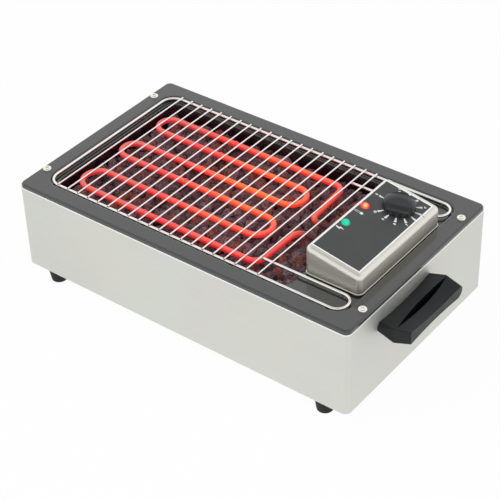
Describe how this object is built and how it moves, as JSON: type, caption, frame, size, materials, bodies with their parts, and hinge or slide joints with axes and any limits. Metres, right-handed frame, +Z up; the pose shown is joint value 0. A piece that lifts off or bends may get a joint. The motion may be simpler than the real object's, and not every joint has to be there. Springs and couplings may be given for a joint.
{
  "type": "lava rock grill",
  "caption": "Table-top electric lava rock grill: steel casing, enamelled pan with a rock bed, glowing element, lift-off chrome grate and a control box with a turning knob.",
  "frame": {"origin": "on the floor under the middle of the whole part, its handle and gland included", "axes": "+X to the right along the casing's length, +Y to the back, +Z up"},
  "size_m": [0.586, 0.334, 0.2023],
  "materials": {
    "satin_steel": "satin stainless sheet",
    "galvanised_sheet": "dull galvanised sheet",
    "black_rubber": "matt moulded rubber",
    "zinc_screw": "zinc plate",
    "nickel_screw": "bright nickel plate",
    "black_enamel": "semi-gloss black vitreous enamel",
    "chrome_wire": "bright chrome plate",
    "lava_stone": "porous reddish brown lava",
    "heat_tinted_steel": "heat-tinted steel",
    "grey_label": "dark grey screen-printed label",
    "white_plastic": "heat-resistant moulded plastic",
    "black_plastic": "black moulded phenolic",
    "copper_tube": "bare copper",
    "glowing_sheath": "metal sheath glowing red hot",
    "red_lens": "lit red lens",
    "green_lens": "lit green lens"
  },
  "bodies": {
    "casing": {"base_plate": "galvanised_sheet", "bulb_clip": "galvanised_sheet", "cable_gland": "black_plastic", "capillary_tube": "copper_tube", "casing_shell": "satin_steel", "control_box_base": "satin_steel", "control_box_cover": "satin_steel", "control_box_screws": "zinc_screw", "control_label": "grey_label", "element_bushes": "heat_tinted_steel", "element_clips": "heat_tinted_steel", "element_rings": "zinc_screw", "element_strap": "heat_tinted_steel", "enamel_pan": "black_enamel", "foot_nuts": "zinc_screw", "foot_screws": "zinc_screw", "front_left_foot": "black_rubber", "front_right_foot": "black_rubber", "gland_nut": "black_plastic", "green_lamp_body": "white_plastic", "green_lamp_lens": "green_lens", "handle_screws": "zinc_screw", "heat_shield": "galvanised_sheet", "heating_element": "glowing_sheath", "lava_rocks": "lava_stone", "pan_brackets": "galvanised_sheet", "pan_screws": "nickel_screw", "rear_left_foot": "black_rubber", "rear_right_foot": "black_rubber", "red_lamp_body": "white_plastic", "red_lamp_lens": "red_lens", "sensor_bulb": "copper_tube", "side_handle": "black_plastic", "terminal_block": "white_plastic", "terminal_block_screws": "zinc_screw", "thermostat_body": "white_plastic", "thermostat_nut": "zinc_screw"},
    "grate": {"grate_frame": "chrome_wire", "grate_bars": "chrome_wire"},
    "knob": {"control_knob": "black_plastic", "thermostat_shaft": "zinc_screw"}
  },
  "joints": [
    {"name": "grate_lift", "type": "slide", "parent": "casing", "child": "grate", "axis": [0, 0, 1], "range_m": [0, 0.15]},
    {"name": "knob_turn", "type": "hinge", "parent": "casing", "child": "knob", "pos_m": [0.1795, 0.0445, 0.18479], "axis": [0.1736, 0, 0.9848], "range_deg": [-144, 156]}
  ]
}
